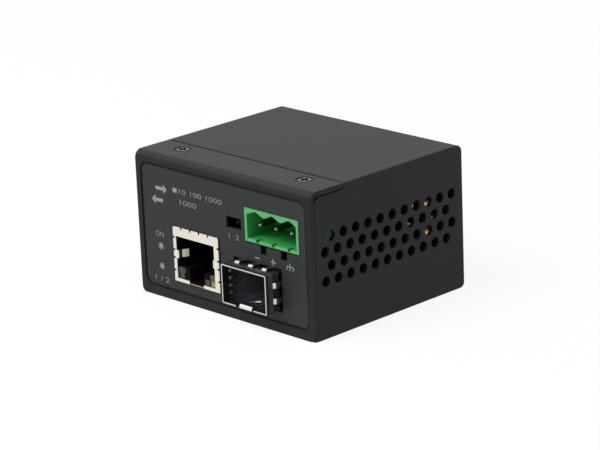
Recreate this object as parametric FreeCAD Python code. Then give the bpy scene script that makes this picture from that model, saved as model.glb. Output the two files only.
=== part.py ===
"""Fibre media converter: RJ45 copper port, SFP fibre port, folded sheet case.

Units are millimetres.  The origin is the centre of the case's flat underside, +Z is up,
+X is the case's right side seen from the front, and the front panel faces -Y.
"""
import FreeCAD, Part
import math
import os

Vector = FreeCAD.Vector

# ---------------------------------------------------------------- driving dimensions

# case
case_width = 58.0
case_depth = 50.0
case_height = 35.0
shell_sheet = 1.0
shell_top_bend = 0.8           # inner radius, top to rear
shell_bottom_bend = 0.3        # inner radius, rear to bottom
cover_sheet = 1.2
cover_bend = 0.8               # inner radius, front plate to top flange
cover_flange = 10.6            # front face to the flange's rear edge
cover_seam = 0.5               # open seam between the flange and the shell's top
cover_gap = 0.12               # front plate's back to the shell's front edges
cover_corner = 1.4             # lower corners of the front plate
side_slot = 0.25               # open slot under the flange along each side wall
side_step_gap = 0.1            # flange's rear edge to the step in each side wall
side_relief = 1.6              # corner of the side wall behind the cover's bend
lip_front = 3.4                # front face to the screw lip's front edge
lug_width = 7.0
lug_length = 5.0
lug_sheet = 1.0

# vents in the right side wall
vent_diameter = 2.5
vent_pitch = 4.0
vent_rows = 4
vent_front_margin = 4.16       # front face to the first hole of the forward rows
vent_rear_margin = 3.6         # last hole of the rearward rows to the rear face
vent_top_margin = 11.1         # case top to the first row

# label
label_side_margin = 1.75
label_end_margin = 2.5
label_corner = 2.2
label_sheet = 0.25
label_pocket = 0.4
label_gap = 0.2

# screws
screw_thread = 2.5
screw_head = 3.9
screw_countersink = 4.4
screw_crown = 0.34             # flat top of a raised head, as a share of its width
recess_reach = 0.3             # driver recess, as shares of the head
recess_arm = 0.1
recess_depth = 0.9
screw_run = 0.05               # radial clearance in tapped holes
cover_screw_side = 8.8         # case side to each cover screw
cover_screw_y = 7.25
cover_screw_length = 4.0
base_thread = 3.0
base_head = 4.9
base_screw_length = 2.4
clip_hole = 3.0                # tapped holes for a rail clip
clip_spacing = 25.0

# boards
board_sheet = 1.6
board_top = 5.3                # main board's component side
board_side_gap = 0.8
board_front_gap = 1.6
board_rear_gap = 1.3
power_board_drop = 7.1         # case top to the power board's underside
fixing_side = 3.0              # board edge to the fixings
fixing_rear = 5.2
fixing_front = 15.0            # front face to the forward fixings
standoff_flats = 4.5
stud_length = 2.6
shank_diameter = 3.0           # top of each standoff, in the power board
shank_proud = 0.8
hole_gap = 0.1                 # clearance of pins and studs in board holes, each side

# RJ45 jack
jack_place = -0.156            # centre, as a share of the case width
jack_width = 15.4
jack_height = 13.42
jack_depth = 21.4
jack_sheet = 0.3
jack_proud = 0.3
jack_fold = 0.6                # outer radius of the shield's long edges
jack_mouth_width = 12.86
jack_mouth_shift = -0.3        # jack centre to the mouth's
jack_mouth_low = 0.8
jack_mouth_high = 11.13
jack_plug_floor = 3.7
jack_latch_width = 4.9
jack_latch_floor = 0.5
jack_latch_short = 2.0         # latch channel ends before the plug's room does
jack_cavity_step = 0.2         # cavity walls inside the mouth's edges
jack_plug_depth = 13.3         # shield face to the back of the plug's room
jack_finger_width = 3.05
jack_finger_pitch = 6.05
jack_finger_step = 5.0         # between the side walls' fingers
jack_finger_length = 4.6
jack_finger_slit = 0.5
jack_slit_notch = 0.55         # how deep the slits notch the front frame
jack_led_setback = 0.5
jack_led_depth = 5.0
jack_led_width = 2.0
jack_led_height = 1.45
jack_leg_setback = 9.0         # front face to the shield's legs
jack_leg_width = 1.6
jack_leg_reach = 0.6
jack_tab_height = 1.9          # earthing springs folded back from the mouth's sides
jack_tab_z = 6.7               # board to a spring's middle
jack_tab_left_root = 0.75      # mouth's edge to each spring's straight part
jack_tab_right_root = 0.4
jack_tab_run = 1.1             # straight part behind the front
jack_tab_slope_in = 0.75
jack_tab_slope_run = 1.5
jack_tab_return = 0.9
jack_tab_sheet = 0.2
contact_count = 8
contact_pitch = 1.02
contact_width = 0.46
contact_sheet = 0.3
contact_setback = 4.8          # shield face to the wires' front bends
contact_tip = 3.0              # wires' free ends in front of the cavity's back
contact_drop = 2.85
contact_nose_back = 0.2
contact_nose_drop = 1.15
jack_gap = 0.15                # jack to front panel cut-out

# SFP cage
cage_place = 0.191             # centre, as a share of the case width
cage_width = 14.5
cage_height = 9.4
cage_rear_gap = 4.75
cage_sheet = 0.3
cage_corner = 0.45
cage_proud = 4.45
cage_lift = 0.1
cage_slot_x = 0.55             # panel cut-out beyond the cage, each side
cage_slot_z = 0.5
latch_slot_width = 5.9
latch_width = 4.5
latch_setback = 0.8
latch_length = 12.0
latch_lift = 0.2               # leaf's top above the cage floor
latch_lip = 0.3                # turned-down front edge of the leaf
collar_sheet = 0.12
collar_setback = 0.65
collar_band = 1.55
collar_depth = 5.15
collar_finger_width = 1.3
collar_finger_rise = 0.45
collar_slope = 0.5             # run of a finger's steep front
collar_crest = 0.6             # flat top of a finger
collar_waist = 0.15            # height of a finger inside the panel
collar_top_pitch = 4.4
collar_side_pitch = 3.75
socket_setback = 1.6           # cage's rear to the socket's
socket_slot_gap = 0.5          # opening in the cage's floor round the socket
socket_depth = 9.2
socket_width = 12.6
socket_height = 6.2
socket_nose = 3.2              # stepped front of the socket
socket_nose_lift = 1.9
socket_nose_side = 1.0
card_slot_lift = 3.9
card_slot_height = 1.2
card_slot_depth = 6.0
card_slot_side = 1.6
cage_pin_width = 0.9
cage_pin_reach = 0.5
cage_pin_shoulder = 2.0
cage_pin_front = 8.0           # front face to the first pins
cage_pin_rear = 4.25           # last pins to the cage's rear

# terminal block header
pin_pitch = 5.08
pin_count = 3
terminal_side = 4.08           # case side to the block
terminal_width = 17.24
terminal_height = 7.95
terminal_depth = 12.0
terminal_cavity_depth = 9.2
terminal_end_wall = 0.72
terminal_floor = 0.75
terminal_roof = 0.55
terminal_ridge = 1.5
terminal_gap = 0.15
terminal_gap_below = 0.35      # panel cut-out below the block
scallop_pitch = 5.4
scallop_shift = 0.3            # scallops and floor notches sit right of the pins
scallop_crown = 0.3            # half width of a scallop's flat crown
scallop_valley = 0.3
scallop_radius = 0.6
terminal_notch = 1.0
terminal_notch_shift = 0.45
terminal_notch_depth = 1.6
terminal_notch_skin = 0.12     # floor left under a notch
terminal_pin = 1.0
terminal_pin_point = 0.4       # chamfer round a pin's tip
terminal_pin_setback = 1.24
terminal_pin_drop = 3.9        # pin axis below the block's top
terminal_pin_leg = 13.4
terminal_pin_reach = 1.2
panel_notch_width = 1.95
panel_notch_height = 2.35
panel_notch_left = -3.0        # from the terminal block's centre
panel_notch_right = 3.6

# mode switch
switch_gap = 0.65              # switch to terminal block
switch_window_width = 4.85
switch_window_height = 2.75
switch_window_drop = 4.62      # power board to the window's middle
switch_width = 6.4
switch_depth = 6.2
switch_height = 7.0
switch_setback = 3.4
lever_pitch = 2.54
lever_width = 1.1
lever_height = 1.0
lever_travel = 1.3
lever_proud = 0.8
lever_root = 1.2
lever_gap = 0.06
lever_groove = 0.4

# indicator lamps
lamp_side = 7.3                # case side to the lamps
lamp_low_z = 7.66
lamp_pitch = 5.0
lamp_diameter = 2.0
lamp_hole_gap = 0.06
lamp_length = 6.0
holder_width = 3.2
holder_depth = 6.0
holder_setback = 2.4
holder_cap = 1.7

# parts on the boards
chip_side = 12.0
chip_height = 1.4
chip_place = -0.207            # centre, as a share of the case width
chip_rear = 13.0               # case rear to the chip's centre
chip_bevel = 0.25
chip_foot = 0.15
chip_lead = 1.0
crystal_place = -0.026
crystal_length = 11.0
crystal_width = 4.6
crystal_height = 3.6
crystal_end = 0.98             # radius of its ends, as a share of half the width
capacitor_diameter = 8.0
capacitor_height = 11.5
capacitor_rear = 16.0
capacitor_side = 7.6           # board link to the first capacitor
capacitor_pitch = 9.6
inductor_side = 10.0
inductor_height = 4.2
inductor_bevel = 1.4
inductor_x = 6.0
inductor_rear = 20.0
regulator_length = 5.0
regulator_width = 4.0
regulator_height = 1.6
regulator_pins = 4
regulator_pitch = 1.27
regulator_lead = 0.4
regulator_x = 3.0
regulator_step = 11.0          # inductor's centre to the regulator's
fuse_length = 6.1
fuse_width = 2.6
fuse_cap = 1.1
fuse_step = 0.1                # end caps stand proud of the ceramic
fuse_side = 12.2               # board edge to the fuse's middle
fuse_y = 22.0                  # from the front face
link_side = 2.4                # board edge to the board link
link_step = 14.3               # rear fixings to the board link's centre
link_pitch = 2.54
link_pairs = 5
link_gap = 9.1                 # socket's top to the header above it
link_header_height = 2.5
link_pin = 0.64
link_pin_setback = 1.5         # pins' tips above the socket's floor

# ---------------------------------------------------------------- places worked out

front = -case_depth / 2
rear = case_depth / 2
half_width = case_width / 2
shell_front = front + cover_sheet + cover_gap
seam_rear = front + cover_flange + cover_seam
lip_top = case_height - cover_sheet
lip_bottom = lip_top - shell_sheet
inner_half = half_width - shell_sheet
inner_rear = rear - shell_sheet
label_face = front + label_pocket - label_sheet
cover_screw_places = [(side * (half_width - cover_screw_side), front + cover_screw_y)
                      for side in (-1, 1)]
board_bottom = board_top - board_sheet
board_half = inner_half - board_side_gap
board_front = front + board_front_gap
board_rear = inner_rear - board_rear_gap
power_bottom = case_height - power_board_drop
power_top = power_bottom + board_sheet
fixing_x = board_half - fixing_side
fixing_rear_y = board_rear - fixing_rear
fixing_front_y = front + fixing_front
spacer_places = [(-fixing_x, fixing_front_y), (fixing_x, fixing_front_y),
                 (-fixing_x, fixing_rear_y), (fixing_x, fixing_rear_y)]
standoff_places = [place for place in spacer_places if place != (fixing_x, fixing_front_y)]
jack_x = jack_place * case_width
mouth_x = jack_x + jack_mouth_shift
jack_bottom = board_top
jack_top = jack_bottom + jack_height
jack_front = front - jack_proud
jack_rear = jack_front + jack_depth
jack_leg_y = front + jack_leg_setback
cage_x = cage_place * case_width
cage_bottom = board_top + cage_lift
cage_top = cage_bottom + cage_height
cage_front = front - cage_proud
cage_rear = inner_rear - cage_rear_gap
socket_front = cage_rear - socket_setback - socket_depth
cage_pin_first = front + cage_pin_front
cage_pin_last = cage_rear - cage_pin_rear
cage_pin_places = [cage_pin_first, (cage_pin_first + cage_pin_last) / 2, cage_pin_last]
terminal_x = half_width - terminal_side - terminal_width / 2
terminal_top = power_bottom
terminal_bottom = terminal_top - terminal_height
pin_z = terminal_top - terminal_pin_drop
pin_places = [terminal_x + (i - (pin_count - 1) / 2) * pin_pitch for i in range(pin_count)]
switch_x = terminal_x - terminal_width / 2 - switch_gap - switch_width / 2
switch_window_z = power_bottom - switch_window_drop
lever_places = [switch_x + side * lever_pitch / 2 for side in (-1, 1)]
lamp_x = lamp_side - half_width
lamp_places = [lamp_low_z + i * lamp_pitch for i in range(2)]
chip_x = chip_place * case_width
chip_y = rear - chip_rear
inductor_y = rear - inductor_rear
link_x = link_side - board_half
link_y = fixing_rear_y - link_step
link_socket_top = power_bottom - link_header_height - link_gap
fuse_x = board_half - fuse_side


# ---------------------------------------------------------------- geometry helpers

overshoot = 1.0                # how far a cutting tool reaches past what it cuts


def to_space(plane, a, b, level):
    """Place the flat point (a, b) on the XY, XZ or YZ plane at the given level."""
    if plane == "XY":
        return Vector(a, b, level)
    if plane == "XZ":
        return Vector(a, level, b)
    return Vector(level, a, b)


def outline(points, radii, plane, level):
    """Closed wire through the points, each corner rounded by its own radius."""
    edges = []
    starts = []
    ends = []
    count = len(points)
    for i, (here, radius) in enumerate(zip(points, radii)):
        corner = Vector(here[0], here[1], 0)
        before = Vector(*points[i - 1], 0) - corner
        after = Vector(*points[(i + 1) % count], 0) - corner
        before.normalize()
        after.normalize()
        if radius <= 0:
            starts.append((corner, None))
            ends.append(corner)
            continue
        half = before.getAngle(after) / 2
        middle = before + after
        middle.normalize()
        tangent = radius / math.tan(half)
        centre = corner + middle * (radius / math.sin(half))
        starts.append((corner + before * tangent, centre - middle * radius))
        ends.append(corner + after * tangent)
    for i in range(count):
        start, crown = starts[i]
        end = ends[i]
        if crown is not None:
            arc = [to_space(plane, p.x, p.y, level) for p in (start, crown, end)]
            edges.append(Part.Arc(*arc).toShape())
        following = starts[(i + 1) % count][0]
        if (following - end).Length > 1e-6:
            line = [to_space(plane, p.x, p.y, level) for p in (end, following)]
            edges.append(Part.makeLine(*line))
    return Part.Wire(edges)


def prism(points, plane, level, length, radius=0.0, radii=None):
    """Extrude a corner-rounded outline from one level along the plane's normal."""
    corner_radii = radii or [radius] * len(points)
    face = Part.Face(outline(points, corner_radii, plane, level))
    return face.extrude(to_space(plane, 0, 0, length))


def rectangle(a_low, a_high, b_low, b_high):
    return [(a_low, b_low), (a_high, b_low), (a_high, b_high), (a_low, b_high)]


def block(x_low, x_high, y_low, y_high, z_low, z_high):
    size = (x_high - x_low, y_high - y_low, z_high - z_low)
    return Part.makeBox(*size, Vector(x_low, y_low, z_low))


def rod(x, y, z, diameter, length, axis=(0, 0, 1)):
    return Part.makeCylinder(diameter / 2, length, Vector(x, y, z), Vector(*axis))


def drill(x, y, z, diameter, sheet, axis=(0, 0, 1)):
    """Tool for a round hole through a sheet whose near face is at the given point."""
    start = Vector(x, y, z) - Vector(*axis) * overshoot
    return rod(*start, diameter, sheet + 2 * overshoot, axis)


def hexagon(x, y, z, flats, height):
    reach = flats / math.sqrt(3)
    corners = [(x + reach * math.cos(math.radians(60 * i)),
                y + reach * math.sin(math.radians(60 * i))) for i in range(6)]
    return prism(corners, "XY", z, height)


def bent_strip(path, sheet, bend, plane, level, width):
    """Folded sheet: the path runs along one face, the sheet lies to the path's left.

    A bend of 0 leaves the folds sharp.
    """
    points = [Vector(a, b, 0) for a, b in path]
    ways = [(q - p).normalize() for p, q in zip(points, points[1:])]
    sides = [Vector(-way.y, way.x, 0) for way in ways]
    near, far, near_radii, far_radii = [], [], [], []
    for i, point in enumerate(points):
        if i in (0, len(points) - 1):
            shift = sides[0 if i == 0 else -1] * sheet
            turn = 0.0
        else:
            mitre = sides[i - 1] + sides[i]
            shift = mitre * (sheet / (1 + sides[i - 1].dot(sides[i])))
            turn = ways[i - 1].x * ways[i].y - ways[i - 1].y * ways[i].x
        near.append((point.x, point.y))
        far.append((point.x + shift.x, point.y + shift.y))
        straight = turn == 0 or bend == 0
        near_radii.append(0.0 if straight else bend + (sheet if turn > 0 else 0))
        far_radii.append(0.0 if straight else bend + (0 if turn > 0 else sheet))
    return prism(near + far[::-1], plane, level, width, radii=near_radii + far_radii[::-1])


def fuse(shapes):
    return shapes[0].multiFuse(shapes[1:]).removeSplitter()


def cut(shape, tools):
    return shape.cut(tools).removeSplitter()


def mirrored(shape):
    return shape.mirror(Vector(0, 0, 0), Vector(1, 0, 0))


def cross_recess(x, y, z, reach, width, depth):
    """Two crossed tools for a driver recess, sunk into a face at height z from either side."""
    return [block(x - a, x + a, y - b, y + b, z - depth, z + depth)
            for a, b in ((reach, width), (width, reach))]


def sunk_hole(x, y, face_z, way, countersink, thread, sheet):
    """Countersunk clearance hole through a sheet; way is +1 when the head faces up."""
    depth = (countersink - thread) / 2
    down = Vector(0, 0, -way)
    cone = Part.makeCone(countersink / 2, thread / 2, depth, Vector(x, y, face_z), down)
    return cone.fuse(drill(x, y, face_z, thread, sheet, down))


def sunk_screw(x, y, face_z, way, head, countersink, thread, length):
    """Countersunk screw flush with face_z; a head smaller than its countersink is raised."""
    sink = (countersink - head) / 2
    rim = Vector(x, y, face_z - way * sink)
    up = Vector(0, 0, way)
    solids = [Part.makeCone(head / 2, thread / 2, (head - thread) / 2, rim, -up),
              Part.makeCylinder(thread / 2 - screw_run, length, rim, -up)]
    if sink > 0:
        solids.append(Part.makeCone(head / 2, head * screw_crown, sink, rim, up))
    recess = cross_recess(x, y, face_z, head * recess_reach, head * recess_arm, recess_depth)
    return cut(fuse(solids), recess)


# ---------------------------------------------------------------- case

def vent_holes():
    """Staggered round vents, one tool per hole, through the right side wall."""
    tools = []
    row_step = vent_pitch * math.sqrt(3) / 2
    room = case_depth - vent_front_margin - vent_rear_margin - vent_pitch / 2
    columns = int(room / vent_pitch) + 1
    for row in range(vent_rows):
        shift = vent_pitch / 2 if row % 2 == 0 else 0.0
        for column in range(columns):
            y = front + vent_front_margin + shift + column * vent_pitch
            z = case_height - vent_top_margin - row * row_step
            tools.append(drill(inner_half, y, z, vent_diameter, shell_sheet, (1, 0, 0)))
    return tools


def side_wall():
    """Flat side, cut down at the front so that the cover's flange passes over it."""
    step = lip_top - side_slot
    step_rear = front + cover_flange + side_step_gap
    points = [(shell_front, 0), (rear, 0), (rear, case_height), (step_rear, case_height),
              (step_rear, step), (shell_front, step)]
    radii = [0, shell_bottom_bend + shell_sheet, shell_top_bend + shell_sheet, 0, 0, side_relief]
    return prism(points, "YZ", inner_half, shell_sheet, radii=radii)


def case_shell():
    """Five-sided welded box: top, rear and bottom in one folded strip, and two side walls."""
    step_back = seam_rear + shell_sheet
    bottom_bend = shell_bottom_bend + shell_sheet
    top_bend = shell_top_bend + shell_sheet
    points = [(shell_front, 0), (rear, 0), (rear, case_height), (seam_rear, case_height),
              (seam_rear, lip_top), (front + lip_front, lip_top),
              (front + lip_front, lip_bottom), (step_back, lip_bottom),
              (step_back, case_height - shell_sheet), (inner_rear, case_height - shell_sheet),
              (inner_rear, shell_sheet), (shell_front, shell_sheet)]
    radii = [0, bottom_bend, top_bend, 0, 0, 0, 0, 0, 0, shell_top_bend, shell_bottom_bend, 0]
    strip = prism(points, "YZ", -inner_half, 2 * inner_half, radii=radii)
    wall = side_wall()
    shell = fuse([strip, wall, mirrored(wall)])
    holes = vent_holes()
    for x, y in cover_screw_places:
        holes.append(drill(x, y, lip_bottom, screw_thread, shell_sheet))
    for x, y in spacer_places:
        holes.append(sunk_hole(x, y, 0, -1, base_head, base_thread, shell_sheet))
    for x in (-clip_spacing / 2, clip_spacing / 2):
        holes.append(drill(x, inner_rear, case_height / 2, clip_hole, shell_sheet, (0, 1, 0)))
    return cut(shell, holes)


def jack_outline(grow):
    half = jack_width / 2 + grow
    return rectangle(jack_x - half, jack_x + half, jack_bottom - grow, jack_top + grow)


def cage_outline(grow_x, grow_z):
    half = cage_width / 2 + grow_x
    return rectangle(cage_x - half, cage_x + half, cage_bottom - grow_z, cage_top + grow_z)


def terminal_outline(grow):
    half = terminal_width / 2 + grow
    return rectangle(terminal_x - half, terminal_x + half,
                     terminal_bottom - grow, terminal_top + grow)


def panel_openings():
    """Cut-outs shared by the front plate and its label."""
    reach = label_pocket + cover_sheet + 2 * overshoot
    start = front - overshoot
    window_x = switch_window_width / 2
    window_z = switch_window_height / 2
    slot_half = terminal_width / 2 + terminal_gap
    notch_half = panel_notch_width / 2
    notch_low = terminal_bottom - panel_notch_height
    tools = [prism(jack_outline(jack_gap), "XZ", start, reach),
             prism(cage_outline(cage_slot_x, cage_slot_z), "XZ", start, reach),
             prism(terminal_outline(terminal_gap), "XZ", start, reach),
             block(terminal_x - slot_half, terminal_x + slot_half, start, start + reach,
                   terminal_bottom - terminal_gap_below, terminal_bottom),
             block(switch_x - window_x, switch_x + window_x, start, start + reach,
                   switch_window_z - window_z, switch_window_z + window_z)]
    for place in (panel_notch_left, panel_notch_right):
        x = terminal_x + place
        tools.append(block(x - notch_half, x + notch_half, start, start + reach,
                           notch_low, terminal_bottom))
    for z in lamp_places:
        diameter = lamp_diameter + 2 * lamp_hole_gap
        tools.append(rod(lamp_x, start, z, diameter, reach, (0, 1, 0)))
    return tools


def label_outline(grow):
    half = half_width - label_side_margin + grow
    return rectangle(-half, half, label_end_margin - grow,
                     case_height - label_end_margin + grow)


def front_cover():
    """Folded cover: front plate with a label pocket and a screwed flange on top."""
    path = [(front + cover_flange, case_height), (front, case_height), (front, 0)]
    folded = bent_strip(path, cover_sheet, cover_bend, "YZ", -half_width, case_width)
    sides = rectangle(-half_width, half_width, 0, case_height)
    trim = prism(sides, "XZ", front - overshoot, case_depth,
                 radii=[cover_corner, cover_corner, 0, 0])
    cover = folded.common(trim)
    lugs = []
    for x, y in cover_screw_places:
        lugs.append(block(x - lug_width / 2, x + lug_width / 2, front + cover_sheet,
                          front + cover_sheet + lug_length, shell_sheet,
                          shell_sheet + lug_sheet))
    cover = fuse([cover] + lugs)
    pocket = prism(label_outline(label_gap), "XZ", front - overshoot, label_pocket + overshoot,
                   label_corner + label_gap)
    holes = [pocket] + panel_openings()
    for x, y in cover_screw_places:
        holes.append(sunk_hole(x, y, case_height, 1, screw_countersink, screw_thread,
                               cover_sheet))
    return cut(cover, holes)


def front_label():
    """Printed overlay lying in the front plate's pocket."""
    label = prism(label_outline(0), "XZ", label_face, label_sheet, label_corner)
    return cut(label, panel_openings())


def cover_screws():
    screws = [sunk_screw(x, y, case_height, 1, screw_head, screw_countersink, screw_thread,
                         cover_screw_length) for x, y in cover_screw_places]
    return Part.makeCompound(screws)


def base_screws():
    screws = [sunk_screw(x, y, 0, -1, base_head, base_head, base_thread,
                         base_screw_length) for x, y in spacer_places]
    return Part.makeCompound(screws)


# ---------------------------------------------------------------- boards and fixings

def board_spacers():
    """Threaded hexagon spacers between the case bottom and the main board."""
    spacers = []
    for x, y in spacer_places:
        body = hexagon(x, y, shell_sheet, standoff_flats, board_bottom - shell_sheet)
        spacers.append(body.cut(rod(x, y, 0, base_thread, board_bottom + overshoot)))
    return Part.makeCompound(spacers)


def board(level, holes):
    blank = block(-board_half, board_half, board_front, board_rear, level, level + board_sheet)
    return cut(blank, holes)


def main_board():
    """Lower board, drilled for its studs and for the legs of the jack and the cage."""
    holes = [drill(x, y, board_bottom, base_thread + 2 * hole_gap, board_sheet)
             for x, y in spacer_places]
    return board(board_bottom, holes + cage_pins(hole_gap) + jack_legs(hole_gap))


def power_board():
    """Upper board, drilled for the standoffs' shanks and the terminal block's legs."""
    holes = [drill(x, y, power_bottom, shank_diameter + 2 * hole_gap, board_sheet)
             for x, y in standoff_places]
    side = terminal_pin / 2 + hole_gap
    leg_y = front + terminal_pin_leg
    for x in pin_places:
        holes.append(block(x - side, x + side, leg_y - side, leg_y + side,
                           power_bottom - overshoot, power_top + overshoot))
    return board(power_bottom, holes)


def board_standoffs():
    """Brass hexagon standoffs: threaded stud below, soldered shank above."""
    standoffs = []
    for x, y in standoff_places:
        body = hexagon(x, y, board_top, standoff_flats, power_bottom - board_top)
        stud = rod(x, y, board_top - stud_length, base_thread - 2 * screw_run, stud_length)
        shank = rod(x, y, power_bottom, shank_diameter, board_sheet + shank_proud)
        standoffs.append(fuse([body, stud, shank]))
    return Part.makeCompound(standoffs)


# ---------------------------------------------------------------- RJ45 jack

def finger_bands():
    """Pairs of limits, across and up, of the spring fingers at the jack's mouth."""
    half = jack_finger_width / 2
    middle = (jack_bottom + jack_top) / 2
    across = [mouth_x + side * jack_finger_pitch / 2 for side in (-1, 1)]
    up = [middle + side * jack_finger_step / 2 for side in (-1, 1)]
    return [[(c - half, c + half) for c in centres] for centres in (across, up)]


def jack_slits():
    """Slits that free the spring fingers in the shield's top and sides."""
    tools = []
    across, up = finger_bands()
    half = jack_width / 2
    slit = jack_finger_slit / 2
    start = jack_front - overshoot
    end = jack_front + jack_finger_length
    for limits in across:
        for x in limits:
            tools.append(block(x - slit, x + slit, start, end, jack_top - jack_slit_notch,
                               jack_top + overshoot))
    for limits in up:
        for z in limits:
            for x in (jack_x - half, jack_x + half):
                tools.append(block(x - jack_slit_notch, x + jack_slit_notch, start, end,
                                   z - slit, z + slit))
    return tools


def jack_legs(grow):
    """Shield legs that pass through the main board."""
    legs = []
    thick = jack_sheet / 2 + grow
    wide = jack_leg_width / 2 + grow
    for side in (-1, 1):
        x = jack_x + side * (jack_width - jack_sheet) / 2
        legs.append(block(x - thick, x + thick, jack_leg_y - wide, jack_leg_y + wide,
                          board_bottom - jack_leg_reach - grow, jack_bottom + grow))
    return legs


def rj45_shield():
    """Folded tinned shield, open below, with a framed mouth and a latch notch."""
    half = jack_width / 2
    skin = jack_sheet
    can = block(jack_x - half, jack_x + half, jack_front, jack_rear, jack_bottom, jack_top)
    long_edges = [edge for edge in can.Edges
                  if abs(edge.CenterOfMass.z - jack_top) < 1e-6
                  and abs(edge.CenterOfMass.x - jack_x) > 1e-6]
    can = can.makeFillet(jack_fold, long_edges)
    inside = block(jack_x - half + skin, jack_x + half - skin, jack_front + skin,
                   jack_rear - skin, jack_bottom - overshoot, jack_top - skin)
    start = jack_front - overshoot
    end = jack_front + jack_sheet + overshoot
    mouth_half = jack_mouth_width / 2
    mouth_low = jack_bottom + jack_mouth_low
    mouth = block(mouth_x - mouth_half, mouth_x + mouth_half, start, end, mouth_low,
                  jack_bottom + jack_mouth_high)
    latch_half = jack_latch_width / 2
    latch = block(mouth_x - latch_half, mouth_x + latch_half, start, end,
                  jack_bottom - overshoot, mouth_low + overshoot)
    can = cut(can, [inside, mouth, latch] + jack_slits())
    return fuse([can, jack_tab(-1), jack_tab(1)] + jack_legs(0))


def jack_tab(side):
    """Earthing spring: inwards from the mouth's edge, back, sprung inwards and out again."""
    edge = mouth_x - jack_mouth_width / 2
    root = edge + (jack_tab_left_root if side < 0 else jack_tab_right_root)
    bend_y = jack_front + jack_tab_run
    crest_y = bend_y + jack_tab_slope_run
    path = [(edge - jack_sheet, jack_front), (root, jack_front), (root, bend_y),
            (root + jack_tab_slope_in, crest_y), (root, crest_y + jack_tab_return)]
    low = jack_bottom + jack_tab_z - jack_tab_height / 2
    tab = bent_strip(path, jack_tab_sheet, 0, "XY", low, jack_tab_height)
    if side > 0:
        tab = tab.mirror(Vector(mouth_x, 0, 0), Vector(1, 0, 0))
    return tab


def jack_plug_space():
    """The room for the plug body and, below it, for its latch."""
    half = jack_mouth_width / 2 - jack_cavity_step
    start = jack_front
    floor = jack_bottom + jack_plug_floor
    high = jack_bottom + jack_mouth_high
    latch_half = jack_latch_width / 2
    body = block(mouth_x - half, mouth_x + half, start, start + jack_plug_depth, floor, high)
    latch = block(mouth_x - latch_half, mouth_x + latch_half, start,
                  start + jack_plug_depth - jack_latch_short, jack_bottom + jack_latch_floor,
                  floor + overshoot)
    return [body, latch]


def jack_led(side):
    """One lamp block in a lower corner of the jack's mouth."""
    outer = jack_mouth_width / 2
    inner = outer - jack_led_width
    low_x, high_x = sorted((mouth_x + side * inner, mouth_x + side * outer))
    start = jack_front + jack_led_setback
    low = jack_bottom + jack_mouth_low
    return block(low_x, high_x, start, start + jack_led_depth, low, low + jack_led_height)


def rj45_housing():
    """Black insulator with the plug cavity, latch channel and lamp pockets."""
    half = jack_width / 2 - jack_sheet
    body = block(jack_x - half, jack_x + half, jack_front + jack_sheet, jack_rear - jack_sheet,
                 jack_bottom, jack_top - jack_sheet)
    pockets = []
    for side in (-1, 1):
        led = jack_led(side).BoundBox
        pockets.append(block(led.XMin, led.XMax, jack_front, led.YMax, led.ZMin, led.ZMax))
    return cut(body, jack_plug_space() + pockets)


def rj45_contacts():
    """Eight spring wires, rooted along the cavity's roof and sprung down into the plug."""
    roof = jack_bottom + jack_mouth_high
    back = jack_front + jack_plug_depth
    nose = jack_front + contact_setback
    path = [(back, roof), (nose, roof), (nose - contact_nose_back, roof - contact_nose_drop),
            (back - contact_tip, roof - contact_drop)]
    wires = []
    for i in range(contact_count):
        x = mouth_x + (i - (contact_count - 1) / 2) * contact_pitch - contact_width / 2
        wires.append(bent_strip(path, contact_sheet, 0, "YZ", x, contact_width))
    return Part.makeCompound(wires)


# ---------------------------------------------------------------- SFP cage

def cage_pins(grow):
    """Press-fit pins down each side of the cage, through the main board."""
    pins = []
    for y in cage_pin_places:
        for side in (-1, 1):
            x = cage_x + side * (cage_width - cage_sheet) / 2
            pins.append(block(x - cage_sheet / 2 - grow, x + cage_sheet / 2 + grow,
                              y - cage_pin_width / 2 - grow, y + cage_pin_width / 2 + grow,
                              board_bottom - cage_pin_reach - grow, cage_bottom + overshoot))
    return pins


def cage_shoulders():
    """Shoulders above the pins, which seat the cage on the main board."""
    shoulders = []
    for y in cage_pin_places:
        for side in (-1, 1):
            x = cage_x + side * (cage_width - cage_sheet) / 2
            shoulders.append(block(x - cage_sheet / 2, x + cage_sheet / 2,
                                   y - cage_pin_shoulder / 2, y + cage_pin_shoulder / 2,
                                   board_top, cage_bottom + overshoot))
    return shoulders


def collar_places():
    """Centres of the spring fingers: across the top and bottom, and up the sides."""
    across = [cage_x + i * collar_top_pitch for i in (-1, 0, 1)]
    middle = (cage_bottom + cage_top) / 2
    up = [middle + i * collar_side_pitch / 2 for i in (-1, 1)]
    return across, up


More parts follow.
